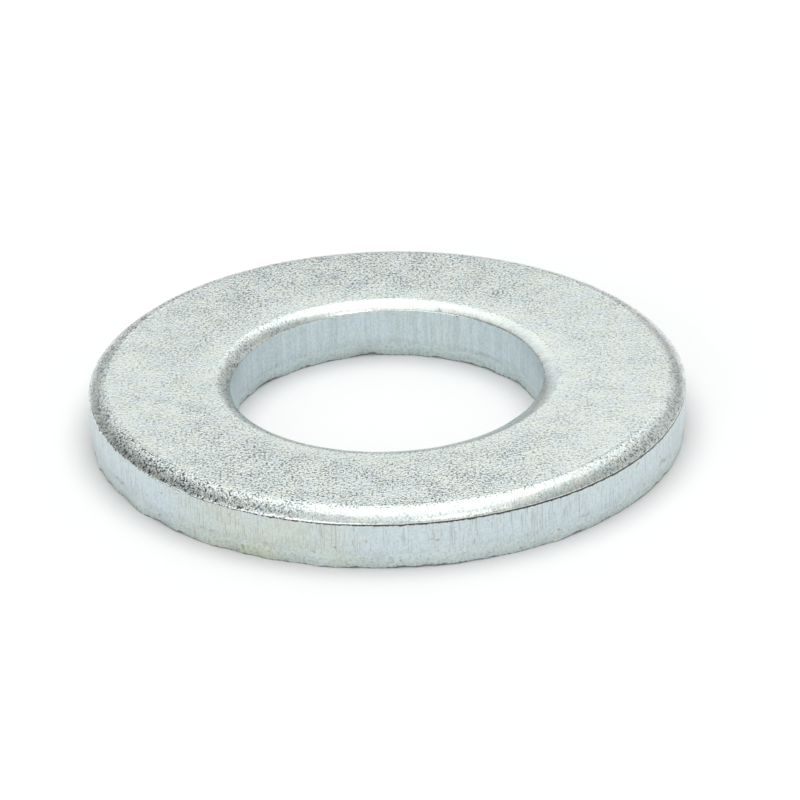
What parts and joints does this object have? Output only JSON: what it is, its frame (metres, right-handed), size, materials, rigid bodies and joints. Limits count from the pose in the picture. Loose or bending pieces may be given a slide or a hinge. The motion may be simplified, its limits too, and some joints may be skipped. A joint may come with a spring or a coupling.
{
  "type": "flat washer",
  "caption": "Round flat steel washer with a central clearance hole, edges rounded on one face and sharp on the other.",
  "frame": {"origin": "centre of the hole on the sharp-edged (burr) face, which is the lower face", "axes": "+Z along the hole's axis, from the sharp-edged face to the rounded face; the washer is round about Z, so X and Y may point any way"},
  "size_m": [0.02, 0.02, 0.002],
  "materials": {
    "zinc_plated_steel": "bright zinc electroplate over tumbled steel: fine pebbled sheen on the faces, vertical score lines on the cut walls, grey speckled torn bands below them"
  },
  "bodies": {
    "root": {"washer": "zinc_plated_steel"}
  },
  "joints": []
}
